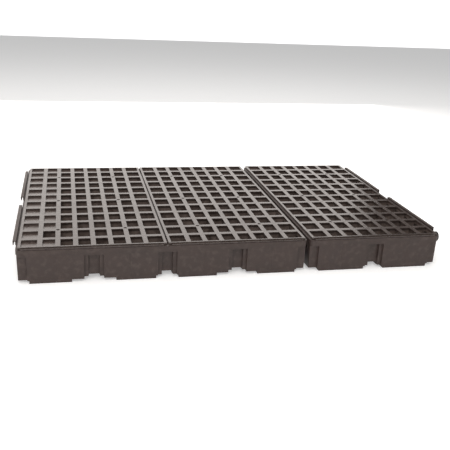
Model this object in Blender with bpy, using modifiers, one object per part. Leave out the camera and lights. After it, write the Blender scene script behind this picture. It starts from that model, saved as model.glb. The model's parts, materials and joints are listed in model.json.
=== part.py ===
"""Low-profile spill containment pallet: a two-grate tray and a one-grate tray side by side.

X runs along the row of grates, -Y is the front, +Z is up and the feet stand on Z = 0.
The origin is the centre of the overall box, on the ground. Lengths are in metres.
"""
import math

import bmesh
import bpy
from mathutils import Matrix, Vector

# Grate: one rectangular lattice plate
CELL_COLUMNS = 8
CELL_ROWS = 12
INNER_CELL_X = 0.0547
OUTER_CELL_X = 0.0689
LONG_RIB = 0.0222
INNER_CELL_Y = 0.0850
OUTER_CELL_Y = 0.0795
CROSS_RIB = 0.0250
SIDE_BORDER = 0.0122
END_BORDER = 0.0080
END_LIP = 0.0090
END_LIP_DROP = 0.0050
LIP_CORNER_NOTCH = 0.0142
GRATE_THICKNESS = 0.0355
GRATE_SKIRT = 0.0220
GRATE_FLANGE = 0.0110
BODY_BORDER = 0.0045
RIB_CAP = 0.0070
RIB_WEB = 0.0060
FIXING_HOLE_RADIUS = 0.0080
FIXING_HUB_RADIUS = 0.0110
FIXING_RIBS_X = (2, 6)
FIXING_RIBS_Y = (2, 6, 10)
CLOSED_FLOOR_DEPTH = 0.0105
CLOSED_FLOOR_THICKNESS = 0.0035

# Heights above the ground
DECK_HEIGHT = 0.1680
RIM_BAND = 0.0215
FOOT_HEIGHT = 0.0130
QUARTER_SLOT_HEIGHT = 0.0200
CHANNEL_HEIGHT = 0.0255
RECESS_TOP_CLEARANCE = 0.0010

# Trays
WALL = 0.0050
RIM_OVERHANG = 0.0025
RIM_RADIUS = 0.0220
WALL_DRAFT = 0.0020
GRATE_GAP = 0.0079
GRATE_SIDE_CLEARANCE = 0.0030
LEDGE_WIDTH = 0.0141
MOUTH_RADIUS = 0.0070
TRAY_GAP = 0.0147
SEAT_CLEARANCE = 0.0003

# Recesses, feet and corner setbacks in the tray walls
RECESS_WIDTH = 0.0860
RECESS_DEPTH = 0.0120
RECESS_CORE_WIDTH = 0.0500
RECESS_CORE_DEPTH = 0.0250
CORNER_SETBACK_WIDTH = 0.0450
CORNER_SETBACK_DEPTH = 0.0140
CHANNEL_WIDTH = 0.0460
CENTRE_FOOT_GAP = 0.1030
QUARTER_FOOT_GAP = 0.1940
SIDE_FOOT_GAP = 0.1800
FOOT_INSET = 0.0530
FLUTE_RADIUS = 0.0250
FLUTE_DEPTH = 0.0025

# Grate supports inside the trays
COLUMN_BASE_RADIUS = 0.0420
COLUMN_TOP_RADIUS = 0.0260
RIDGE_END_GAP = 0.1200

# Hook rails along the outer sides
HOOK_REACH = 0.0145
HOOK_RISE = 0.0035
HOOK_DROP = 0.0200
HOOK_SKIN = 0.0040
HOOK_LENGTH = 0.5060
HOOK_SPACING = 0.1390
HOOK_INNER_LAP = 0.0005

# Threaded fittings through the walls
FITTING_FROM_FRONT = 0.0760
FITTING_BELOW_DECK = 0.0405
BOSS_WIDTH = 0.0620
BOSS_BELOW_FITTING = 0.0340
BOSS_TOP_BELOW_RIM = 0.0005
BOSS_PROUD = 0.0010
SHANK_RADIUS = 0.0120
SHANK_BORE = 0.0090
HOLE_CLEARANCE = 0.0005
THREAD_CLEARANCE = 0.0003
FLANGE_RADIUS = 0.0160
FLANGE_THICKNESS = 0.0040
GASKET_THICKNESS = 0.0020
NUT_ACROSS_FLATS = 0.0300
NUT_THICKNESS = 0.0100
LOCKNUT_ACROSS_FLATS = 0.0420
LOCKNUT_THICKNESS = 0.0080
CAP_RADIUS = 0.0250
CAP_LENGTH = 0.0220
CAP_END = 0.0050
CAP_STANDOFF = 0.0010
CAP_SEAL_THICKNESS = 0.0020
SPACER_RADIUS = 0.0220
SHANK_PAST_NUT = 0.0020

ROUND_STEPS = 24
COLUMN_STEPS = 14
FLUTE_STEPS = 20
HOLE_STEPS = 12
CUTTER_REACH = 0.0200

# Worked out from the sizes above
COLUMN_PITCH = INNER_CELL_X + LONG_RIB
ROW_PITCH = INNER_CELL_Y + CROSS_RIB
FIELD_X = 2 * OUTER_CELL_X + (CELL_COLUMNS - 2) * INNER_CELL_X + (CELL_COLUMNS - 1) * LONG_RIB
FIELD_Y = 2 * OUTER_CELL_Y + (CELL_ROWS - 2) * INNER_CELL_Y + (CELL_ROWS - 1) * CROSS_RIB
GRATE_X = FIELD_X + 2 * SIDE_BORDER
GRATE_Y = FIELD_Y + 2 * (END_BORDER + END_LIP)
GRATE_PITCH = GRATE_X + GRATE_GAP
OPENING_MARGIN = BODY_BORDER + GRATE_SIDE_CLEARANCE
RIM_MARGIN = OPENING_MARGIN + LEDGE_WIDTH
TRAY_Y = FIELD_Y + 2 * RIM_MARGIN
DOUBLE_TRAY_X = GRATE_PITCH + FIELD_X + 2 * RIM_MARGIN
SINGLE_TRAY_X = FIELD_X + 2 * RIM_MARGIN
LEDGE_HEIGHT = DECK_HEIGHT - GRATE_FLANGE - SEAT_CLEARANCE
GRATE_UNDERSIDE = DECK_HEIGHT - GRATE_THICKNESS
COLUMN_TOP = GRATE_UNDERSIDE - SEAT_CLEARANCE
RIM_BOTTOM = LEDGE_HEIGHT - RIM_BAND
RECESS_TOP = GRATE_UNDERSIDE - WALL - RECESS_TOP_CLEARANCE
WALL_RADIUS = RIM_RADIUS - RIM_OVERHANG
FITTING_HEIGHT = DECK_HEIGHT - FITTING_BELOW_DECK
BOSS_BOTTOM = FITTING_HEIGHT - BOSS_BELOW_FITTING
BOSS_TOP = LEDGE_HEIGHT - BOSS_TOP_BELOW_RIM
SKIRT_UNDERSIDE = DECK_HEIGHT - GRATE_SKIRT
INNER_PAD_TOP = SKIRT_UNDERSIDE - GRATE_SIDE_CLEARANCE
INNER_PAD_MARGIN = OPENING_MARGIN - BOSS_PROUD
FITTING_WALL = RIM_MARGIN + BOSS_PROUD - INNER_PAD_MARGIN
FITTING_Y = -TRAY_Y / 2 + FITTING_FROM_FRONT
NUT_REACH = BOSS_PROUD + 2 * SEAT_CLEARANCE + GASKET_THICKNESS + LOCKNUT_THICKNESS
CAP_REACH = NUT_REACH + CAP_STANDOFF + CAP_LENGTH
ROW_X = DOUBLE_TRAY_X + TRAY_GAP + SINGLE_TRAY_X
LEFT_END = -(ROW_X + HOOK_REACH + CAP_REACH) / 2 + HOOK_REACH
DOUBLE_TRAY_CENTRE = LEFT_END + DOUBLE_TRAY_X / 2
SINGLE_TRAY_CENTRE = LEFT_END + DOUBLE_TRAY_X + TRAY_GAP + SINGLE_TRAY_X / 2


def new_collection(name):
    collection = bpy.data.collections.new(name)
    bpy.context.scene.collection.children.link(collection)
    return collection


def material(name, colour, roughness, metallic=0.0):
    made = bpy.data.materials.new(name)
    made.use_nodes = True
    shader = made.node_tree.nodes["Principled BSDF"]
    shader.inputs["Base Color"].default_value = (*colour, 1.0)
    shader.inputs["Roughness"].default_value = roughness
    shader.inputs["Metallic"].default_value = metallic
    return made


def add_object(name, mesh, collection, finish=None):
    made = bpy.data.objects.new(name, mesh)
    collection.objects.link(made)
    if finish is not None:
        mesh.materials.append(finish)
    return made


def box_mesh(name, boxes):
    """One mesh of separate boxes, each given by its low and high corner."""
    shape = bmesh.new()
    for low, high in boxes:
        low, high = Vector(low), Vector(high)
        size = Matrix.Diagonal((*(high - low), 1.0))
        bmesh.ops.create_cube(shape, size=1.0, matrix=Matrix.Translation((low + high) / 2) @ size)
    mesh = bpy.data.meshes.new(name)
    shape.to_mesh(mesh)
    shape.free()
    return mesh


def rounded_block(name, size_x, size_y, low_z, high_z, radius, draft=0.0):
    """An upright block with rounded vertical edges; draft narrows its foot on every side."""
    shape = bmesh.new()
    height = high_z - low_z
    middle = (low_z + high_z) / 2
    stretch = Matrix.Diagonal((size_x, size_y, height, 1.0))
    bmesh.ops.create_cube(shape, size=1.0, matrix=Matrix.Translation((0.0, 0.0, middle)) @ stretch)
    upright = [edge for edge in shape.edges if abs(edge.verts[0].co.z - edge.verts[1].co.z) > height / 2]
    bmesh.ops.bevel(shape, geom=upright, offset=radius, segments=5, profile=0.5, affect="EDGES")
    for vertex in shape.verts:
        if vertex.co.z < middle:
            vertex.co.x *= 1.0 - 2.0 * draft / size_x
            vertex.co.y *= 1.0 - 2.0 * draft / size_y
    mesh = bpy.data.meshes.new(name)
    shape.to_mesh(mesh)
    shape.free()
    return mesh


def cone_mesh(name, places, low_radius, high_radius, low_z, high_z, segments):
    """One mesh of separate upright cones or cylinders at the given x and y."""
    shape = bmesh.new()
    for x, y in places:
        place = Matrix.Translation((x, y, (low_z + high_z) / 2))
        bmesh.ops.create_cone(shape, cap_ends=True, segments=segments, radius1=low_radius,
                              radius2=high_radius, depth=high_z - low_z, matrix=place)
    mesh = bpy.data.meshes.new(name)
    shape.to_mesh(mesh)
    shape.free()
    return mesh


def as_cutter(name, mesh):
    tool = add_object(name, mesh, cutters)
    tool.hide_render = True
    tool.display_type = "WIRE"
    return tool


def boolean(target, tool, operation="DIFFERENCE"):
    modifier = target.modifiers.new(tool.name, "BOOLEAN")
    modifier.operation = operation
    modifier.object = tool
    modifier.solver = "EXACT"


# ---------------------------------------------------------------- grates

def rib_centres(count, outer_cell, inner_cell, rib, field):
    """Places of the ribs between cells, from the middle of the cell field."""
    first = -field / 2 + outer_cell + rib / 2
    return [first + index * (inner_cell + rib) for index in range(count - 1)]


RIBS_X = rib_centres(CELL_COLUMNS, OUTER_CELL_X, INNER_CELL_X, LONG_RIB, FIELD_X)
RIBS_Y = rib_centres(CELL_ROWS, OUTER_CELL_Y, INNER_CELL_Y, CROSS_RIB, FIELD_Y)


def cell_spans(ribs, rib, field):
    starts = [-field / 2] + [centre + rib / 2 for centre in ribs]
    ends = [centre - rib / 2 for centre in ribs] + [field / 2]
    return list(zip(starts, ends))


def fixing_holes():
    return [(RIBS_X[i - 1], RIBS_Y[j - 1]) for i in FIXING_RIBS_X for j in FIXING_RIBS_Y]


def closed_cells():
    """Column and row of each cell that keeps a floor: the outer column, and the next between the fixings."""
    outer = [(0, row) for row in range(CELL_ROWS)]
    inner = [(1, row) for row in range(CELL_ROWS) if row + 1 not in FIXING_RIBS_Y]
    return outer + inner


def cell_boxes(closed, low, high):
    """Cutters for the cells and for the wider pockets under the rib caps."""
    past = CUTTER_REACH
    plate_top = high - CLOSED_FLOOR_DEPTH
    plate_low = plate_top - CLOSED_FLOOR_THICKNESS
    cells, pockets = [], []
    for column, (x0, x1) in enumerate(cell_spans(RIBS_X, LONG_RIB, FIELD_X)):
        for row, (y0, y1) in enumerate(cell_spans(RIBS_Y, CROSS_RIB, FIELD_Y)):
            floor = plate_top if (column, row) in closed else low - past
            cells.append(((x0, y0, floor), (x1, y1, high + past)))
    for column, (x0, x1) in enumerate(cell_spans(RIBS_X, RIB_WEB, FIELD_X)):
        for row, (y0, y1) in enumerate(cell_spans(RIBS_Y, RIB_WEB, FIELD_Y)):
            roof = plate_low if (column, row) in closed else high - RIB_CAP
            pockets.append(((x0, y0, low - past), (x1, y1, roof)))
    return cells, pockets


def make_grate(name, centre_x, closed=()):
    """A lattice plate: a flange that rests on the tray's ledge and a body that drops inside it."""
    low, high = GRATE_UNDERSIDE, DECK_HEIGHT
    half_x, half_y = GRATE_X / 2, GRATE_Y / 2
    past = CUTTER_REACH
    plate = box_mesh(name, [((-half_x, -half_y, low), (half_x, half_y, high))])
    grate = add_object(name, plate, parts, deck_plastic)

    step_y = half_y - END_LIP
    notch_x = half_x - LIP_CORNER_NOTCH
    body_x = FIELD_X / 2 + BODY_BORDER
    body_y = FIELD_Y / 2 + BODY_BORDER
    field_x, field_y = FIELD_X / 2, FIELD_Y / 2
    far_x, far_y, bottom, top = half_x + past, half_y + past, low - past, high + past
    seat = high - GRATE_FLANGE
    sides = (-1, 1)
    steps = [((-far_x, side * step_y, high - END_LIP_DROP), (far_x, side * far_y, top)) for side in sides]
    notches = [((side_x * notch_x, side_y * step_y, bottom), (side_x * far_x, side_y * far_y, top))
               for side_x in sides for side_y in sides]
    side_rebates = [((side * body_x, -far_y, bottom), (side * far_x, far_y, seat)) for side in sides]
    end_rebates = [((-far_x, side * body_y, bottom), (far_x, side * far_y, seat)) for side in sides]
    skirt = SKIRT_UNDERSIDE
    side_skirts = [((side * field_x, -far_y, bottom), (side * far_x, far_y, skirt)) for side in sides]
    end_skirts = [((-far_x, side * field_y, bottom), (far_x, side * far_y, skirt)) for side in sides]
    cells, pockets = cell_boxes(closed, low, high)

    grate.location.x = centre_x
    cuts = {"steps": steps, "notches": notches, "side_rebates": side_rebates, "end_rebates": end_rebates,
            "side_skirts": side_skirts, "end_skirts": end_skirts, "cells": cells, "pockets": pockets}
    for label, boxes in cuts.items():
        ordered = [(tuple(map(min, a, b)), tuple(map(max, a, b))) for a, b in boxes]
        tool = as_cutter(f"{name}_{label}", box_mesh(f"{name}_{label}", ordered))
        tool.location.x = centre_x
        boolean(grate, tool)
    hubs = cone_mesh(f"{name}_hubs", fixing_holes(), FIXING_HUB_RADIUS, FIXING_HUB_RADIUS, low,
                     high - RIB_CAP / 2, HOLE_STEPS)
    tool = as_cutter(f"{name}_hubs", hubs)
    tool.location.x = centre_x
    boolean(grate, tool, "UNION")
    holes = cone_mesh(f"{name}_holes", fixing_holes(), FIXING_HOLE_RADIUS, FIXING_HOLE_RADIUS,
                      low - past, high + past, HOLE_STEPS)
    tool = as_cutter(f"{name}_holes", holes)
    tool.location.x = centre_x
    boolean(grate, tool)


# ---------------------------------------------------------------- trays

def recess_boxes(size_x, centres_x, centres_y, width, depth, grow):
    """Upright recesses in the front, back and side walls, wider and deeper by grow."""
    half_x, half_y = size_x / 2 - RIM_OVERHANG, TRAY_Y / 2 - RIM_OVERHANG
    low, high = -CUTTER_REACH, RECESS_TOP + grow
    half = width / 2 + grow
    depth = depth + grow
    boxes = []
    for x in centres_x:
        boxes.append(((x - half, -half_y - CUTTER_REACH, low), (x + half, -half_y + depth, high)))
        boxes.append(((x - half, half_y - depth, low), (x + half, half_y + CUTTER_REACH, high)))
    for y in centres_y:
        boxes.append(((-half_x - CUTTER_REACH, y - half, low), (-half_x + depth, y + half, high)))
        boxes.append(((half_x - depth, y - half, low), (half_x + CUTTER_REACH, y + half, high)))
    return boxes


def corner_boxes(size_x, grow):
    """The front and back walls step back beside each corner."""
    half_x, half_y = size_x / 2, TRAY_Y / 2 - RIM_OVERHANG
    inner = half_x - CORNER_SETBACK_WIDTH - grow
    depth = CORNER_SETBACK_DEPTH + grow
    high = RECESS_TOP + grow
    boxes = []
    for side in (-1, 1):
        ends = sorted((side * inner, side * (half_x + CUTTER_REACH)))
        boxes.append(((ends[0], -half_y - CUTTER_REACH, -CUTTER_REACH), (ends[1], -half_y + depth, high)))
        boxes.append(((ends[0], half_y - depth, -CUTTER_REACH), (ends[1], half_y + CUTTER_REACH, high)))
    return boxes


def slot_boxes(spans, along_x, height, grow):
    """Grooves under the tray over its whole width or depth, given by their spans across."""
    reach = 2.0
    boxes = []
    for low, high in spans:
        if along_x:
            boxes.append(((-reach, low - grow, -CUTTER_REACH), (reach, high + grow, height + grow)))
        else:
            boxes.append(((low - grow, -reach, -CUTTER_REACH), (high + grow, reach, height + grow)))
    return boxes


def foot_gaps_x(size_x, recess_x):
    """Spans between the feet, counted from the tray's middle."""
    end = size_x / 2
    spans = [(-end - CUTTER_REACH, -end + FOOT_INSET), (end - FOOT_INSET, end + CUTTER_REACH)]
    for x in recess_x:
        gap = CENTRE_FOOT_GAP if abs(x) < QUARTER_FOOT_GAP / 2 else QUARTER_FOOT_GAP
        spans.append((x - gap / 2, x + gap / 2))
    return spans


def flute_mesh(name, size_x, recess_x, grow):
    """Shallow upright grooves, one in the middle of each front and back wall panel between the recesses."""
    stops = [-size_x / 2 + CORNER_SETBACK_WIDTH]
    for x in recess_x:
        stops += [x - RECESS_WIDTH / 2, x + RECESS_WIDTH / 2]
    stops.append(size_x / 2 - CORNER_SETBACK_WIDTH)
    centres = [(stops[index] + stops[index + 1]) / 2 for index in range(0, len(stops), 2)]
    wall_y = TRAY_Y / 2 - RIM_OVERHANG
    places = [(x, side * (wall_y + FLUTE_RADIUS - FLUTE_DEPTH)) for x in centres for side in (-1, 1)]
    radius = FLUTE_RADIUS + grow
    return cone_mesh(name, places, radius, radius, -CUTTER_REACH, RECESS_TOP + grow, FLUTE_STEPS)


def fitting_boxes(sides, size_x):
    """Thick flat pads where a fitting passes a side wall: (outer, inner) boxes for each side."""
    y_low, y_high = FITTING_Y - BOSS_WIDTH / 2, FITTING_Y + BOSS_WIDTH / 2
    outer_x = size_x / 2 + BOSS_PROUD
    inner_x = size_x / 2 - RIM_MARGIN + INNER_PAD_MARGIN
    outer, inner = [], []
    for side in sides:
        wall_x = size_x / 2 - RIM_OVERHANG - WALL
        span = sorted((side * wall_x, side * outer_x))
        outer.append(((span[0], y_low, BOSS_BOTTOM), (span[1], y_high, BOSS_TOP)))
        span = sorted((side * inner_x, side * (size_x / 2 + CUTTER_REACH)))
        inner.append(((span[0], y_low, BOSS_BOTTOM), (span[1], y_high, INNER_PAD_TOP)))
    return outer, inner


def hook_boxes(side, size_x):
    """Two downturned hook rails on one side: (solid block, slot under it) for each rail."""
    rim_x = size_x / 2
    blocks, slots = [], []
    for end in (-1, 1):
        y_span = sorted((end * HOOK_SPACING / 2, end * (HOOK_SPACING / 2 + HOOK_LENGTH)))
        x_span = sorted((side * (rim_x - HOOK_INNER_LAP), side * (rim_x + HOOK_REACH)))
        top = DECK_HEIGHT + HOOK_RISE
        blocks.append(((x_span[0], y_span[0], top - HOOK_DROP), (x_span[1], y_span[1], top)))
        slot_start = rim_x + HOOK_SKIN - HOOK_INNER_LAP
        x_span = sorted((side * slot_start, side * (rim_x + HOOK_REACH - HOOK_SKIN)))
        slots.append(((x_span[0], y_span[0] - CUTTER_REACH, top - HOOK_DROP - CUTTER_REACH),
                      (x_span[1], y_span[1] + CUTTER_REACH, top - HOOK_SKIN)))
    return blocks, slots


def make_sump(name, size_x, centre_x, grate_centres, recess_x, recess_y, fitting_sides):
    """The hollow inside a tray, as a cutter whose floor and walls follow the outside."""
    outer_x = size_x - 2 * (RIM_OVERHANG + WALL)
    outer_y = TRAY_Y - 2 * (RIM_OVERHANG + WALL)
    shoulder = RIM_BOTTOM - WALL
    radius = WALL_RADIUS - WALL
    inside = rounded_block(f"{name}_sump", outer_x, outer_y, WALL, shoulder, radius, WALL_DRAFT)
    sump = as_cutter(f"{name}_sump", inside)
    sump.location.x = centre_x

    mouth_x = size_x - 2 * LEDGE_WIDTH
    mouth_y = TRAY_Y - 2 * LEDGE_WIDTH
    mouth = as_cutter(f"{name}_mouth", rounded_block(f"{name}_mouth", mouth_x, mouth_y, shoulder - WALL,
                                                     DECK_HEIGHT + CUTTER_REACH, MOUTH_RADIUS))
    mouth.location.x = centre_x
    boolean(sump, mouth, "UNION")

    quarter_spans = [(x - RECESS_WIDTH / 2, x + RECESS_WIDTH / 2) for x in recess_x if x]
    blocks = {
        "recesses": recess_boxes(size_x, recess_x, recess_y, RECESS_WIDTH, RECESS_DEPTH, WALL),
        "cores": recess_boxes(size_x, recess_x, recess_y, RECESS_CORE_WIDTH, RECESS_CORE_DEPTH, WALL),
        "corners": corner_boxes(size_x, WALL),
        "gaps_x": slot_boxes(foot_gaps_x(size_x, recess_x), False, FOOT_HEIGHT, WALL),
        "gaps_y": slot_boxes([(y - SIDE_FOOT_GAP / 2, y + SIDE_FOOT_GAP / 2) for y in recess_y], True,
                             FOOT_HEIGHT, WALL),
        "channels": slot_boxes([(x - CHANNEL_WIDTH / 2, x + CHANNEL_WIDTH / 2) for x in recess_x], False,
                               CHANNEL_HEIGHT, WALL),
        "quarter_slots": slot_boxes(quarter_spans, False, QUARTER_SLOT_HEIGHT, WALL),
        "pads": fitting_boxes(fitting_sides, size_x)[1],
    }
    if len(grate_centres) > 1:
        ridge_half = (GRATE_PITCH - FIELD_X) / 2 - OPENING_MARGIN
        ridge_y = TRAY_Y / 2 - RIDGE_END_GAP
        blocks["ridge"] = [((-ridge_half, -ridge_y, -CUTTER_REACH), (ridge_half, ridge_y, LEDGE_HEIGHT))]
    meshes = {label: box_mesh(f"{name}_sump_{label}", boxes) for label, boxes in blocks.items() if boxes}
    meshes["flutes"] = flute_mesh(f"{name}_sump_flutes", size_x, recess_x, WALL)
    for label, mesh in meshes.items():
        tool = as_cutter(f"{name}_sump_{label}", mesh)
        tool.location.x = centre_x
        boolean(sump, tool)

    columns = [(x + dx, y) for x in grate_centres for dx, y in fixing_holes()]
    column_mesh = cone_mesh(f"{name}_columns", columns, COLUMN_BASE_RADIUS, COLUMN_TOP_RADIUS,
                            -CUTTER_REACH, COLUMN_TOP, COLUMN_STEPS)
    column = as_cutter(f"{name}_columns", column_mesh)
    column.location.x = centre_x
    boolean(sump, column)
    return sump


def make_tray(name, size_x, centre_x, grate_centres, recess_x, hook_side, fitting_sides):
    """A moulded sump: walls, rim, stepped recesses, hollow feet and hollow grate columns."""
    recess_y = (-FIELD_Y / 2 + (RIBS_Y[FIXING_RIBS_Y[0] - 1] + RIBS_Y[FIXING_RIBS_Y[1] - 1] + FIELD_Y) / 2,
                FIELD_Y / 2 + (RIBS_Y[FIXING_RIBS_Y[1] - 1] + RIBS_Y[FIXING_RIBS_Y[2] - 1] - FIELD_Y) / 2)
    wall_x, wall_y = size_x - 2 * RIM_OVERHANG, TRAY_Y - 2 * RIM_OVERHANG
    outside = rounded_block(name, wall_x, wall_y, 0.0, RIM_BOTTOM + WALL, WALL_RADIUS, WALL_DRAFT)
    tray = add_object(name, outside, parts, tray_plastic)
    tray.location.x = centre_x

    hooks, slots = hook_boxes(hook_side, size_x)
    pads = fitting_boxes(fitting_sides, size_x)[0]
    additions = {
        "rim": rounded_block(f"{name}_rim", size_x, TRAY_Y, RIM_BOTTOM, LEDGE_HEIGHT, RIM_RADIUS),
        "hooks": box_mesh(f"{name}_hooks", hooks),
        "pads": box_mesh(f"{name}_pads", pads),
    }
    for label, mesh in additions.items():
        tool = as_cutter(f"{name}_{label}", mesh)
        tool.location.x = centre_x
        boolean(tray, tool, "UNION")

    quarter_spans = [(x - RECESS_WIDTH / 2, x + RECESS_WIDTH / 2) for x in recess_x if x]
    cuts = {
        "hook_slots": slots,
        "recesses": recess_boxes(size_x, recess_x, recess_y, RECESS_WIDTH, RECESS_DEPTH, 0.0),
        "cores": recess_boxes(size_x, recess_x, recess_y, RECESS_CORE_WIDTH, RECESS_CORE_DEPTH, 0.0),
        "corners": corner_boxes(size_x, 0.0),
        "gaps_x": slot_boxes(foot_gaps_x(size_x, recess_x), False, FOOT_HEIGHT, 0.0),
        "gaps_y": slot_boxes([(y - SIDE_FOOT_GAP / 2, y + SIDE_FOOT_GAP / 2) for y in recess_y], True,
                             FOOT_HEIGHT, 0.0),
        "channels": slot_boxes([(x - CHANNEL_WIDTH / 2, x + CHANNEL_WIDTH / 2) for x in recess_x], False,
                               CHANNEL_HEIGHT, 0.0),
        "quarter_slots": slot_boxes(quarter_spans, False, QUARTER_SLOT_HEIGHT, 0.0),
    }
    meshes = {label: box_mesh(f"{name}_{label}", boxes) for label, boxes in cuts.items() if boxes}
    meshes["flutes"] = flute_mesh(f"{name}_flutes", size_x, recess_x, 0.0)
    for label, mesh in meshes.items():
        tool = as_cutter(f"{name}_{label}", mesh)
        tool.location.x = centre_x
        boolean(tray, tool)

    boolean(tray, make_sump(name, size_x, centre_x, grate_centres, recess_x, recess_y, fitting_sides))

    columns = [(x + dx, y) for x in grate_centres for dx, y in fixing_holes()]
    slope = (COLUMN_BASE_RADIUS - COLUMN_TOP_RADIUS) / (COLUMN_TOP + CUTTER_REACH)
    void_top = COLUMN_TOP - WALL
    voids = cone_mesh(f"{name}_column_voids", columns, COLUMN_BASE_RADIUS - WALL,
                      COLUMN_BASE_RADIUS - WALL - slope * (void_top + CUTTER_REACH), -CUTTER_REACH, void_top,
                      COLUMN_STEPS)
    tool = as_cutter(f"{name}_column_voids", voids)
    tool.location.x = centre_x
    boolean(tray, tool)

    if len(grate_centres) > 1:
        ridge_half = (GRATE_PITCH - FIELD_X) / 2 - OPENING_MARGIN - WALL
        ridge_y = TRAY_Y / 2 - RIDGE_END_GAP - WALL
        hollow = [((-ridge_half, -ridge_y, -CUTTER_REACH), (ridge_half, ridge_y, LEDGE_HEIGHT - WALL))]
        tool = as_cutter(f"{name}_ridge_void", box_mesh(f"{name}_ridge_void", hollow))
        tool.location.x = centre_x
        boolean(tray, tool)

    reach = RIM_MARGIN + CUTTER_REACH
    bores = bmesh.new()
    for side in fitting_sides:
        centre = Matrix.Translation((side * size_x / 2, FITTING_Y, FITTING_HEIGHT))
        place = centre @ Matrix.Rotation(math.pi / 2, 4, "Y")
        radius = SHANK_RADIUS + HOLE_CLEARANCE
        bmesh.ops.create_cone(bores, cap_ends=True, segments=ROUND_STEPS, radius1=radius, radius2=radius,
                              depth=2 * reach, matrix=place)
    mesh = bpy.data.meshes.new(f"{name}_bores")
    bores.to_mesh(mesh)
    bores.free()
    tool = as_cutter(f"{name}_bores", mesh)
    tool.location.x = centre_x
    boolean(tray, tool)


# ---------------------------------------------------------------- fittings

def turned(name, profile, x, finish):
    """A ring or tube about an X axis through the fitting; profile holds (radius, offset along X)."""
    points = [(radius, 0.0, along) for radius, along in profile]
    edges = [(index, (index + 1) % len(points)) for index in range(len(points))]
    mesh = bpy.data.meshes.new(name)
    mesh.from_pydata(points, edges, [])
    made = add_object(name, mesh, parts, finish)
    made.location = (x, FITTING_Y, FITTING_HEIGHT)
    made.rotation_euler = (0.0, math.pi / 2, 0.0)
    screw = made.modifiers.new("turn", "SCREW")
    screw.axis = "Z"
    screw.angle = 2 * math.pi
    screw.steps = ROUND_STEPS
    screw.render_steps = ROUND_STEPS
    screw.use_merge_vertices = True
    screw.merge_threshold = 0.00001
    screw.use_smooth_shade = False
    return made


def ring(name, inner, outer, x_low, x_high, finish):
    length = x_high - x_low
    return turned(name, [(outer, length), (outer, 0.0), (inner, 0.0), (inner, length)], x_low, finish)


def hex_nut(name, across_flats, x_low, x_high, finish):
    """A hexagonal nut about the fitting's axis, with a plain bore for its thread."""
    corner = across_flats / 2 / math.cos(math.pi / 6)
    shape = bmesh.new()
    length = x_high - x_low
    bmesh.ops.create_cone(shape, cap_ends=True, segments=6, radius1=corner, radius2=corner, depth=length)
    mesh = bpy.data.meshes.new(name)
    shape.to_mesh(mesh)
    shape.free()
    nut = add_object(name, mesh, parts, finish)
    nut.location = ((x_low + x_high) / 2, FITTING_Y, FITTING_HEIGHT)
    nut.rotation_euler = (0.0, math.pi / 2, 0.0)
    bore_radius = SHANK_RADIUS + THREAD_CLEARANCE
    bore = cone_mesh(f"{name}_bore", [(0.0, 0.0)], bore_radius, bore_radius, -length, length, ROUND_STEPS)
    tool = as_cutter(f"{name}_bore", bore)
    tool.location = nut.location
    tool.rotation_euler = nut.rotation_euler
    boolean(nut, tool)


def flanged_tube(name, inner_face, direction, length, finish):
    """A tube whose flange lies against inner_face and whose shank runs along direction."""
    shank, bore, flange = SHANK_RADIUS, SHANK_BORE, FLANGE_RADIUS
    low, high = -FLANGE_THICKNESS, length
    profile = [(shank, high), (shank, 0.0), (flange, 0.0), (flange, low), (bore, low), (bore, high)]
    tube = turned(name, profile, inner_face, finish)
    if direction < 0:
        tube.rotation_euler = (0.0, -math.pi / 2, 0.0)
    return tube


def make_drain():
    """The capped drain fitting through the right wall of the single tray."""
    gap = SEAT_CLEARANCE
    outer_face = LEFT_END + ROW_X + BOSS_PROUD
    inner_face = outer_face - FITTING_WALL
    bore_radius = SHANK_RADIUS + THREAD_CLEARANCE
    gasket_low = inner_face - gap - GASKET_THICKNESS
    ring("drain_inner_gasket", bore_radius, FLANGE_RADIUS, gasket_low, inner_face - gap, seal_rubber)
    flange_face = inner_face - 2 * gap - GASKET_THICKNESS
    washer_low = outer_face + gap
    washer_high = washer_low + GASKET_THICKNESS
    ring("drain_washer", bore_radius, LOCKNUT_ACROSS_FLATS / 2, washer_low, washer_high, seal_rubber)
    nut_high = washer_high + gap + LOCKNUT_THICKNESS
    hex_nut("drain_locknut", LOCKNUT_ACROSS_FLATS, washer_high + gap, nut_high, fitting_plastic)
    cap_low = nut_high + CAP_STANDOFF
    cap_floor = cap_low + CAP_LENGTH - CAP_END
    seal_low = cap_floor - gap - CAP_SEAL_THICKNESS
    shank_end = seal_low - gap
    flanged_tube("drain_body", flange_face, 1, shank_end - flange_face, fitting_plastic)

    cap_mesh = cone_mesh("drain_cap", [(0.0, 0.0)], CAP_RADIUS, CAP_RADIUS, 0.0, CAP_LENGTH, ROUND_STEPS)
    cap = add_object("drain_cap", cap_mesh, parts, fitting_plastic)
    cap.location = (cap_low, FITTING_Y, FITTING_HEIGHT)
    cap.rotation_euler = (0.0, math.pi / 2, 0.0)
    bore = cone_mesh("drain_cap_bore", [(0.0, 0.0)], bore_radius, bore_radius, -CUTTER_REACH,
                     CAP_LENGTH - CAP_END, ROUND_STEPS)
    tool = as_cutter("drain_cap_bore", bore)
    tool.location = cap.location
    tool.rotation_euler = cap.rotation_euler
    boolean(cap, tool)

    seal_mesh = cone_mesh("drain_cap_seal", [(0.0, 0.0)], SHANK_RADIUS, SHANK_RADIUS, 0.0, CAP_SEAL_THICKNESS,
                          ROUND_STEPS)
    seal = add_object("drain_cap_seal", seal_mesh, parts, seal_rubber)
    seal.location = (seal_low, FITTING_Y, FITTING_HEIGHT)
    seal.rotation_euler = (0.0, math.pi / 2, 0.0)


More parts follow.
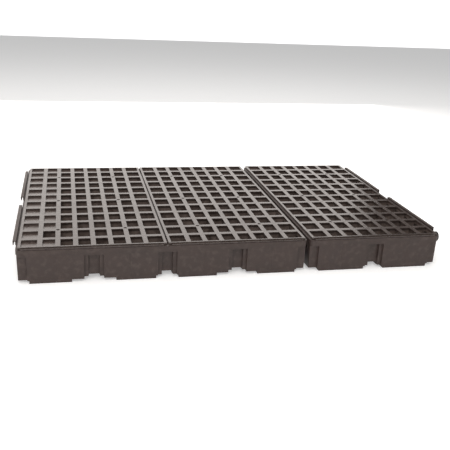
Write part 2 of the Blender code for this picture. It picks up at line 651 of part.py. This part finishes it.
def make_link():
    """The open tube that joins the two sumps through their facing walls."""
    gap = SEAT_CLEARANCE
    left_outer = LEFT_END + DOUBLE_TRAY_X + BOSS_PROUD
    left_inner = left_outer - FITTING_WALL
    right_outer = LEFT_END + DOUBLE_TRAY_X + TRAY_GAP - BOSS_PROUD
    right_inner = right_outer + FITTING_WALL
    bore_radius = SHANK_RADIUS + THREAD_CLEARANCE
    gasket_low = left_inner - gap - GASKET_THICKNESS
    ring("link_gasket_left", bore_radius, FLANGE_RADIUS, gasket_low, left_inner - gap, seal_rubber)
    ring("link_spacer", bore_radius, SPACER_RADIUS, left_outer + gap, right_outer - gap, seal_rubber)
    gasket_high = right_inner + gap + GASKET_THICKNESS
    ring("link_gasket_right", bore_radius, FLANGE_RADIUS, right_inner + gap, gasket_high, seal_rubber)
    nut_high = gasket_high + gap + NUT_THICKNESS
    hex_nut("link_locknut", NUT_ACROSS_FLATS, gasket_high + gap, nut_high, fitting_plastic)
    flange_face = left_inner - 2 * gap - GASKET_THICKNESS
    flanged_tube("link_body", flange_face, 1, nut_high + SHANK_PAST_NUT - flange_face, fitting_plastic)


# ---------------------------------------------------------------- assembly

for leftover in list(bpy.data.objects):
    bpy.data.objects.remove(leftover, do_unlink=True)

parts = new_collection("spill_containment_pallet")
cutters = new_collection("cutters")

deck_plastic = material("deck_plastic", (0.064, 0.046, 0.040), 0.28)
tray_plastic = material("tray_plastic", (0.056, 0.038, 0.033), 0.42)
fitting_plastic = material("fitting_plastic", (0.020, 0.020, 0.021), 0.40)
seal_rubber = material("seal_rubber", (0.012, 0.012, 0.012), 0.80)

quarter = GRATE_PITCH / 2
double_recesses = (-quarter, 0.0, quarter)
make_tray("double_tray", DOUBLE_TRAY_X, DOUBLE_TRAY_CENTRE, (-quarter, quarter), double_recesses, -1, (1,))
make_tray("single_tray", SINGLE_TRAY_X, SINGLE_TRAY_CENTRE, (0.0,), (0.0,), 1, (-1, 1))
make_grate("grate_left", DOUBLE_TRAY_CENTRE - quarter, closed_cells())
make_grate("grate_middle", DOUBLE_TRAY_CENTRE + quarter)
make_grate("grate_right", SINGLE_TRAY_CENTRE)
make_drain()
make_link()
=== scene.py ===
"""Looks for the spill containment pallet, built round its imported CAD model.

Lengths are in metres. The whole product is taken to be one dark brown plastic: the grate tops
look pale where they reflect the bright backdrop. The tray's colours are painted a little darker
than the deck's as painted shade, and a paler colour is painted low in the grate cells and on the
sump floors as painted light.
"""
import json
import math

import bmesh
import bpy
from mathutils import Matrix, Vector


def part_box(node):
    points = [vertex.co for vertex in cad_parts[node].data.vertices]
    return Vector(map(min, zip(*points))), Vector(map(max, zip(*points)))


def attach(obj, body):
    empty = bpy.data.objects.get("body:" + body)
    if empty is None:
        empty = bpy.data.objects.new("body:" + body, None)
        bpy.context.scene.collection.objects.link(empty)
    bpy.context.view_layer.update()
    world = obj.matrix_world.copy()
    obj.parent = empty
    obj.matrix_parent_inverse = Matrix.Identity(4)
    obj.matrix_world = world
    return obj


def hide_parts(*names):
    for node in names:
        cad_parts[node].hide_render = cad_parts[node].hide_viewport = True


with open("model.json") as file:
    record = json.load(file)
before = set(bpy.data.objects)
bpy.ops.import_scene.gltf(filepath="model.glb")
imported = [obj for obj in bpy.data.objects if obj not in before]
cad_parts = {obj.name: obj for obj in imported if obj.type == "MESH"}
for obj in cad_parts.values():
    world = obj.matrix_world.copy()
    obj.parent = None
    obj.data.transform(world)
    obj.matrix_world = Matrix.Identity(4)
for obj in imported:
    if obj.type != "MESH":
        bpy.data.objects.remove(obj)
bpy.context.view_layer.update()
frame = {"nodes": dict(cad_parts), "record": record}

# ---------------------------------------------------------------- camera

# Fitted to the photograph, which is 450 pixels square.
CAMERA_PLACE = Vector((-0.77265, -3.5006, 1.2832))
CAMERA_YAW = math.radians(13.45)
CAMERA_PITCH = math.radians(19.53)
CAMERA_ROLL = math.radians(2.87)
SENSOR_WIDTH = 36.0
FOCAL_PIXELS = 686.4
FRAME_PIXELS = 450.0
CLIP_START = 0.05
CLIP_END = 60.0


def make_camera():
    lens = bpy.data.cameras.new("camera")
    lens.sensor_width = SENSOR_WIDTH
    lens.lens = FOCAL_PIXELS / FRAME_PIXELS * SENSOR_WIDTH
    lens.clip_start = CLIP_START
    lens.clip_end = CLIP_END
    forward = Vector((math.sin(CAMERA_YAW) * math.cos(CAMERA_PITCH),
                      math.cos(CAMERA_YAW) * math.cos(CAMERA_PITCH),
                      -math.sin(CAMERA_PITCH)))
    level = Vector((math.cos(CAMERA_YAW), -math.sin(CAMERA_YAW), 0.0))
    up = level.cross(forward)
    side = math.cos(CAMERA_ROLL) * level + math.sin(CAMERA_ROLL) * up
    top = -math.sin(CAMERA_ROLL) * level + math.cos(CAMERA_ROLL) * up
    turn = Matrix((side, top, -forward)).transposed()
    camera = bpy.data.objects.new("camera", lens)
    camera.matrix_world = Matrix.Translation(CAMERA_PLACE) @ turn.to_4x4()
    bpy.context.scene.collection.objects.link(camera)
    bpy.context.scene.camera = camera


make_camera()

# ---------------------------------------------------------------- shader nodes

BEVEL_SAMPLES = 4
FLAT_TO_EDGE = (0.97, 0.80)  # cosine between the rounded normal and the true one


class Nodes:
    """Short names for the few shader nodes that the materials share."""

    def __init__(self, name, roughness, specular):
        self.material = bpy.data.materials.new(name)
        self.material.use_nodes = True
        self.tree = self.material.node_tree
        self.shader = self.tree.nodes["Principled BSDF"]
        self.shader.inputs["Roughness"].default_value = roughness
        self.shader.inputs["Specular IOR Level"].default_value = specular
        self.place = self.tree.nodes.new("ShaderNodeTexCoord").outputs["Object"]

    def link(self, source, target):
        self.tree.links.new(source, target)

    def noise(self, scale, detail, roughness, stretch=None, distortion=0.0):
        """Scale is in features a metre."""
        node = self.tree.nodes.new("ShaderNodeTexNoise")
        node.inputs["Scale"].default_value = scale
        node.inputs["Detail"].default_value = detail
        node.inputs["Roughness"].default_value = roughness
        node.inputs["Distortion"].default_value = distortion
        place = self.place
        if stretch is not None:
            mapping = self.tree.nodes.new("ShaderNodeMapping")
            mapping.inputs["Scale"].default_value = stretch
            self.link(place, mapping.inputs["Vector"])
            place = mapping.outputs["Vector"]
        self.link(place, node.inputs["Vector"])
        return node.outputs["Fac"]

    def cells(self, scale):
        node = self.tree.nodes.new("ShaderNodeTexVoronoi")
        node.inputs["Scale"].default_value = scale
        self.link(self.place, node.inputs["Vector"])
        return node.outputs["Distance"]

    def spread(self, value, low, high, to_low=0.0, to_high=1.0):
        """Maps low..high to to_low..to_high, clamped."""
        node = self.tree.nodes.new("ShaderNodeMapRange")
        node.inputs["From Min"].default_value = low
        node.inputs["From Max"].default_value = high
        node.inputs["To Min"].default_value = to_low
        node.inputs["To Max"].default_value = to_high
        self.link(value, node.inputs["Value"])
        return node.outputs["Result"]

    def maths(self, operation, first, second):
        node = self.tree.nodes.new("ShaderNodeMath")
        node.operation = operation
        for socket, value in zip(node.inputs, (first, second)):
            if isinstance(value, (int, float)):
                socket.default_value = value
            else:
                self.link(value, socket)
        return node.outputs["Value"]

    def mix(self, factor, first, second):
        """Each colour is a tuple of three numbers or another node's output."""
        node = self.tree.nodes.new("ShaderNodeMix")
        node.data_type = "RGBA"
        # A Mix node's sockets 0, 6 and 7 are the factor and the colours A and B.
        self.link(factor, node.inputs[0])
        for socket, value in ((node.inputs[6], first), (node.inputs[7], second)):
            if isinstance(value, tuple):
                socket.default_value = (*value, 1.0)
            else:
                self.link(value, socket)
        return node.outputs[2]

    def height(self):
        """The height above the ground at rest."""
        node = self.tree.nodes.new("ShaderNodeSeparateXYZ")
        self.link(self.place, node.inputs[0])
        return node.outputs["Z"]

    def upward(self):
        """1 on faces that look straight up, 0 on upright ones."""
        geometry = self.tree.nodes.new("ShaderNodeNewGeometry")
        node = self.tree.nodes.new("ShaderNodeSeparateXYZ")
        self.link(geometry.outputs["Normal"], node.inputs[0])
        return node.outputs["Z"]

    def edges(self, radius):
        """1 on worn outer edges, 0 on flat faces."""
        geometry = self.tree.nodes.new("ShaderNodeNewGeometry")
        bevel = self.tree.nodes.new("ShaderNodeBevel")
        bevel.samples = BEVEL_SAMPLES
        bevel.inputs["Radius"].default_value = radius
        dot = self.tree.nodes.new("ShaderNodeVectorMath")
        dot.operation = "DOT_PRODUCT"
        self.link(bevel.outputs["Normal"], dot.inputs[0])
        self.link(geometry.outputs["Normal"], dot.inputs[1])
        return self.spread(dot.outputs["Value"], *FLAT_TO_EDGE)

    def bump(self, heights):
        """heights is a list of (height output, depth), finest last."""
        normal = None
        for height, depth in heights:
            node = self.tree.nodes.new("ShaderNodeBump")
            node.inputs["Distance"].default_value = depth
            node.inputs["Strength"].default_value = 1.0
            self.link(height, node.inputs["Height"])
            if normal is not None:
                self.link(normal, node.inputs["Normal"])
            normal = node.outputs["Normal"]
        self.link(normal, self.shader.inputs["Normal"])

    def finish(self, colour, roughness, heights):
        self.link(colour, self.shader.inputs["Base Color"])
        self.link(roughness, self.shader.inputs["Roughness"])
        self.bump(heights)
        return self.material


# ---------------------------------------------------------------- materials

# Each pattern is a Nodes.noise call. Each range is where that noise fades from none to full.
SWIRL = {"scale": 7.0, "detail": 5.0, "roughness": 0.62, "stretch": (1.0, 0.45, 1.0),
         "distortion": 1.4}
SWIRL_COLOUR_RANGE = (0.32, 0.68)
SWIRL_GLOSS_RANGE = (0.3, 0.7)
MOTTLING = {"scale": 38.0, "detail": 3.0, "roughness": 0.5}
MOTTLING_RANGE = (0.50, 0.78)
MOTTLING_SHARE = 0.45
SCUFFS = {"scale": 21.0, "detail": 8.0, "roughness": 0.72, "stretch": (1.0, 7.0, 1.0)}
SCUFF_RANGE = (0.60, 0.72)
SCUFF_ROUGHENING = 0.10
WORN_EDGE_RADIUS = 0.0016
# The next three set the painted light's patchiness and its faintest share.
PATCHES = {"scale": 16.0, "detail": 6.0, "roughness": 0.65, "distortion": 0.8}
PATCH_RANGE = (0.34, 0.66)
FAINTEST_PAINTED_LIGHT = 0.15
STEEP_TO_LEVEL = (0.60, 0.95)  # upward part of the normal
WAVINESS = {"scale": 26.0, "detail": 3.0, "roughness": 0.5}
WAVINESS_DEPTH = 0.0007
LEATHER_SCALE = 620.0
FINE_GRAIN = {"scale": 900.0, "detail": 2.0, "roughness": 0.5}

DUST = {"scale": 60.0, "detail": 5.0, "roughness": 0.6}
DUST_COLOUR_RANGE = (0.35, 0.75)
DUST_GLOSS_RANGE = (0.3, 0.7)
RUBBER_CLEAN = (0.010, 0.010, 0.010)
RUBBER_DUSTY = (0.030, 0.029, 0.028)
RUBBER_ROUGHNESS = (0.70, 0.90)
RUBBER_GRAIN = {"scale": 500.0, "detail": 3.0, "roughness": 0.55}
RUBBER_GRAIN_DEPTH = 0.0001


def moulded_plastic(name, dark, mid, light, gloss, rough, grain_depth, worn, painted_light=None,
                    specular=0.5):
    """Structural-foam polyethylene: a faint swirl, a leather grain, scuffs and dulled edges.

    gloss and rough are the least and most roughness. worn is the share of the light colour on
    scuffs and edges. A paler colour can be painted in as light, fullest towards the bottom, from
    the given heights, colour and amount.
    """
    n = Nodes(name, (gloss + rough) / 2, specular)
    swirl = n.noise(**SWIRL)
    mottling = n.spread(n.noise(**MOTTLING), *MOTTLING_RANGE)
    tone = n.mix(n.spread(swirl, *SWIRL_COLOUR_RANGE), dark, mid)
    tone = n.mix(n.maths("MULTIPLY", mottling, MOTTLING_SHARE), tone, light)
    scuff = n.spread(n.noise(**SCUFFS), *SCUFF_RANGE)
    tone = n.mix(n.maths("MULTIPLY", scuff, worn), tone, light)
    tone = n.mix(n.maths("MULTIPLY", n.edges(WORN_EDGE_RADIUS), worn), tone, light)
    # Painted light: a paler colour, fullest towards the bottom, painted on the lower ribs and
    # sump floors.
    if painted_light is not None:
        painted_light_mask = n.spread(n.height(), painted_light["none_above"], painted_light["full_below"])
        if painted_light["level_faces_only"]:
            painted_light_mask = n.maths("MULTIPLY", painted_light_mask, n.spread(n.upward(), *STEEP_TO_LEVEL))
        patches = n.spread(n.noise(**PATCHES), *PATCH_RANGE, FAINTEST_PAINTED_LIGHT, 1.0)
        share = n.maths("MULTIPLY", n.maths("MULTIPLY", painted_light_mask, patches), painted_light["amount"])
        tone = n.mix(share, tone, painted_light["colour"])
    roughness = n.maths("ADD", n.spread(swirl, *SWIRL_GLOSS_RANGE, gloss, rough),
                        n.maths("MULTIPLY", scuff, SCUFF_ROUGHENING))
    return n.finish(tone, roughness, [(n.noise(**WAVINESS), WAVINESS_DEPTH),
                                      (n.cells(LEATHER_SCALE), grain_depth),
                                      (n.noise(**FINE_GRAIN), grain_depth / 2)])


def rubber(name):
    """Dull black rubber with a little dust."""
    n = Nodes(name, roughness=0.8, specular=0.3)
    dust = n.noise(**DUST)
    tone = n.mix(n.spread(dust, *DUST_COLOUR_RANGE), RUBBER_CLEAN, RUBBER_DUSTY)
    return n.finish(tone, n.spread(dust, *DUST_GLOSS_RANGE, *RUBBER_ROUGHNESS),
                    [(n.noise(**RUBBER_GRAIN), RUBBER_GRAIN_DEPTH)])


# Painted light: a paler colour painted on the lower part of the grate ribs, and on the floors of
# the sumps, standing in for the light that reaches into the cells.
DECK_PAINTED_LIGHT = {"none_above": 0.1590, "full_below": 0.1530, "level_faces_only": False,
                "colour": (0.26, 0.205, 0.180), "amount": 0.85}
SUMP_PAINTED_LIGHT = {"none_above": 0.1000, "full_below": 0.0600, "level_faces_only": True,
                "colour": (0.30, 0.240, 0.210), "amount": 0.85}

# Both stand for one plastic: the tray's colours are a little darker than the deck's, as painted
# shade.
deck_plastic = moulded_plastic(
    "deck_plastic", dark=(0.050, 0.035, 0.030), mid=(0.064, 0.046, 0.040),
    light=(0.140, 0.112, 0.100), gloss=0.20, rough=0.33, grain_depth=0.00006, worn=0.30,
    painted_light=DECK_PAINTED_LIGHT)
tray_plastic = moulded_plastic(
    "tray_plastic", dark=(0.043, 0.029, 0.025), mid=(0.056, 0.038, 0.033),
    light=(0.110, 0.082, 0.072), gloss=0.44, rough=0.60, grain_depth=0.00008, worn=0.22,
    painted_light=SUMP_PAINTED_LIGHT, specular=0.4)
fitting_plastic = moulded_plastic(
    "fitting_plastic", dark=(0.010, 0.010, 0.011), mid=(0.016, 0.016, 0.017),
    light=(0.050, 0.048, 0.046), gloss=0.32, rough=0.46, grain_depth=0.00005, worn=0.20)
seal_rubber = rubber("seal_rubber")

LOOKS = {"deck_plastic": deck_plastic, "tray_plastic": tray_plastic,
         "fitting_plastic": fitting_plastic, "seal_rubber": seal_rubber}
SLOTS = {entry["node"]: entry["material_slot"] for entry in frame["record"]["subparts"]}

# ---------------------------------------------------------------- moulded edges on the CAD nodes

EDGE_WIDTHS = {"double_tray": 0.0022, "single_tray": 0.0022,
               "grate_left": 0.0012, "grate_middle": 0.0012, "grate_right": 0.0012}
OTHER_EDGE_WIDTH = 0.0005
WELD_DISTANCE = 0.00002
FLAT_WITHIN = math.radians(0.6)
ROUNDED_ABOVE = math.radians(30)
EDGE_SEGMENTS = 2


def soften(node, width):
    """Joins the node's coplanar faces and rounds its hard edges."""
    weld = node.modifiers.new("join", "WELD")
    weld.merge_threshold = WELD_DISTANCE
    flat = node.modifiers.new("flat", "DECIMATE")
    flat.decimate_type = "DISSOLVE"
    flat.angle_limit = FLAT_WITHIN
    bevel = node.modifiers.new("round", "BEVEL")
    bevel.width = width
    bevel.segments = EDGE_SEGMENTS
    bevel.limit_method = "ANGLE"
    bevel.angle_limit = ROUNDED_ABOVE
    bevel.use_clamp_overlap = True
    bevel.harden_normals = False


# ---------------------------------------------------------------- drain cap

CAP_RINGS = (
    # offset along the axis, radius, ripple of the grip, hexagonal
    (0.0170, 0.0123, 0.0000, False),
    (0.0000, 0.0123, 0.0000, False),
    (0.0000, 0.0222, 0.0000, False),
    (0.0012, 0.0234, 0.0006, False),
    (0.0024, 0.0236, 0.0012, False),
    (0.0150, 0.0236, 0.0012, False),
    (0.0166, 0.0230, 0.0004, False),
    (0.0176, 0.0214, 0.0000, False),
    (0.0176, 0.0145, 0.0000, False),
    (0.0172, 0.0135, 0.0000, False),
    (0.0172, 0.0100, 0.0000, True),
    (0.0212, 0.0097, 0.0000, True),
    (0.0220, 0.0088, 0.0000, True),
)
CAP_SEGMENTS = 144
CAP_GRIPS = 18
CAP_SHARP_ABOVE = math.radians(40)


def make_cap():
    """The drain cap: a ribbed grip with a raised hexagon on its end, hollow behind."""
    low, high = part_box("drain_cap")
    centre_y, centre_z = (low[1] + high[1]) / 2, (low[2] + high[2]) / 2
    shape = bmesh.new()
    rings = []
    for along, radius, ripple, hexagonal in CAP_RINGS:
        ring = []
        for step in range(CAP_SEGMENTS):
            angle = 2 * math.pi * step / CAP_SEGMENTS
            reach = radius + ripple * math.cos(CAP_GRIPS * angle)
            if hexagonal:
                reach = radius / math.cos((angle % (math.pi / 3)) - math.pi / 6)
            ring.append(shape.verts.new((low[0] + along, centre_y + reach * math.cos(angle),
                                         centre_z + reach * math.sin(angle))))
        rings.append(ring)
    for first, second in zip(rings, rings[1:]):
        for step in range(CAP_SEGMENTS):
            after = (step + 1) % CAP_SEGMENTS
            shape.faces.new((first[step], first[after], second[after], second[step]))
    for ring, along in ((rings[0], CAP_RINGS[0][0]), (rings[-1], CAP_RINGS[-1][0])):
        hub = shape.verts.new((low[0] + along, centre_y, centre_z))
        for step in range(CAP_SEGMENTS):
            shape.faces.new((ring[step], ring[(step + 1) % CAP_SEGMENTS], hub))
    bmesh.ops.recalc_face_normals(shape, faces=shape.faces)
    mesh = bpy.data.meshes.new("drain_cap_ribbed")
    shape.to_mesh(mesh)
    shape.free()
    mesh.shade_smooth()
    mesh.set_sharp_from_angle(angle=CAP_SHARP_ABOVE)
    mesh.materials.append(fitting_plastic)
    cap = bpy.data.objects.new("drain_cap_ribbed", mesh)
    bpy.context.scene.collection.objects.link(cap)
    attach(cap, "cap")
    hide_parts("drain_cap")


make_cap()

for name, node in frame["nodes"].items():
    node.data.materials.clear()
    node.data.materials.append(LOOKS[SLOTS[name]])
    soften(node, EDGE_WIDTHS.get(name, OTHER_EDGE_WIDTH))

# ---------------------------------------------------------------- stage

WHITE = (1.0, 1.0, 1.0, 1.0)
FLOOR_HALF_WIDTH = 30.0
FLOOR_DROP = 0.0005
WALL_HALF_WIDTH = 40.0
WALL_DISTANCE = 12.0
WORLD_STRENGTH = 0.12


def glowing_sheet(name, half_width, turn, grey, roughness, glow):
    """A square sheet of matt paper with a little light of its own."""
    mesh = bpy.data.meshes.new(name)
    shape = bmesh.new()
    bmesh.ops.create_grid(shape, x_segments=1, y_segments=1, size=half_width, matrix=turn)
    shape.to_mesh(mesh)
    shape.free()
    sheet = bpy.data.objects.new(name, mesh)
    bpy.context.scene.collection.objects.link(sheet)
    paper = bpy.data.materials.new(name + "_white")
    paper.use_nodes = True
    shader = paper.node_tree.nodes["Principled BSDF"]
    shader.inputs["Base Color"].default_value = (grey, grey, grey, 1.0)
    shader.inputs["Roughness"].default_value = roughness
    shader.inputs["Emission Color"].default_value = WHITE
    shader.inputs["Emission Strength"].default_value = glow
    mesh.materials.append(paper)
    return sheet


def make_stage():
    """The floor and the faint light from all round."""
    floor = glowing_sheet("floor", FLOOR_HALF_WIDTH, Matrix.Identity(4),
                          grey=0.93, roughness=0.9, glow=0.40)
    floor.location.z = -FLOOR_DROP

    world = bpy.data.worlds.new("studio")
    world.use_nodes = True
    background = world.node_tree.nodes["Background"]
    background.inputs["Color"].default_value = WHITE
    background.inputs["Strength"].default_value = WORLD_STRENGTH
    bpy.context.scene.world = world


def make_wall():
    """A plain white wall behind the set, hidden from reflections and bounced light."""
    upright = (Matrix.Translation((0.0, WALL_DISTANCE, 0.0))
               @ Matrix.Rotation(math.pi / 2, 4, "X"))
    wall = glowing_sheet("wall", WALL_HALF_WIDTH, upright, grey=0.9, roughness=0.95, glow=0.9)
    wall.visible_glossy = False
    wall.visible_diffuse = False


def soft_box(name, centre, size, facing, radiance, tint):
    """A rectangular studio light of even brightness."""
    lamp = bpy.data.lights.new(name, "AREA")
    lamp.color = tint
    lamp.shape = "RECTANGLE"
    lamp.size, lamp.size_y = size
    lamp.energy = radiance * math.pi * size[0] * size[1]
    light = bpy.data.objects.new(name, lamp)
    light.location = centre
    light.rotation_euler = Vector(facing).to_track_quat("-Z", "Y").to_euler()
    bpy.context.scene.collection.objects.link(light)


make_stage()
# The grate tops mirror the backdrop. Its right edge is what leaves the right corner dark.
soft_box("backdrop", centre=(-0.85, 4.0, 2.1), size=(7.2, 4.2), facing=(0.0, -1.0, 0.0),
         radiance=1.72, tint=(1.0, 0.95, 0.91))
soft_box("overhead", centre=(0.0, 0.0, 4.5), size=(9.0, 9.0), facing=(0.0, 0.0, -1.0),
         radiance=1.0, tint=(1.0, 0.97, 0.94))
soft_box("front", centre=(-2.2, -5.0, 4.0), size=(6.0, 3.4), facing=(0.30, 1.0, -0.72),
         radiance=2.6, tint=(1.0, 0.98, 0.96))
make_wall()

bpy.context.scene.view_settings.view_transform = "Standard"
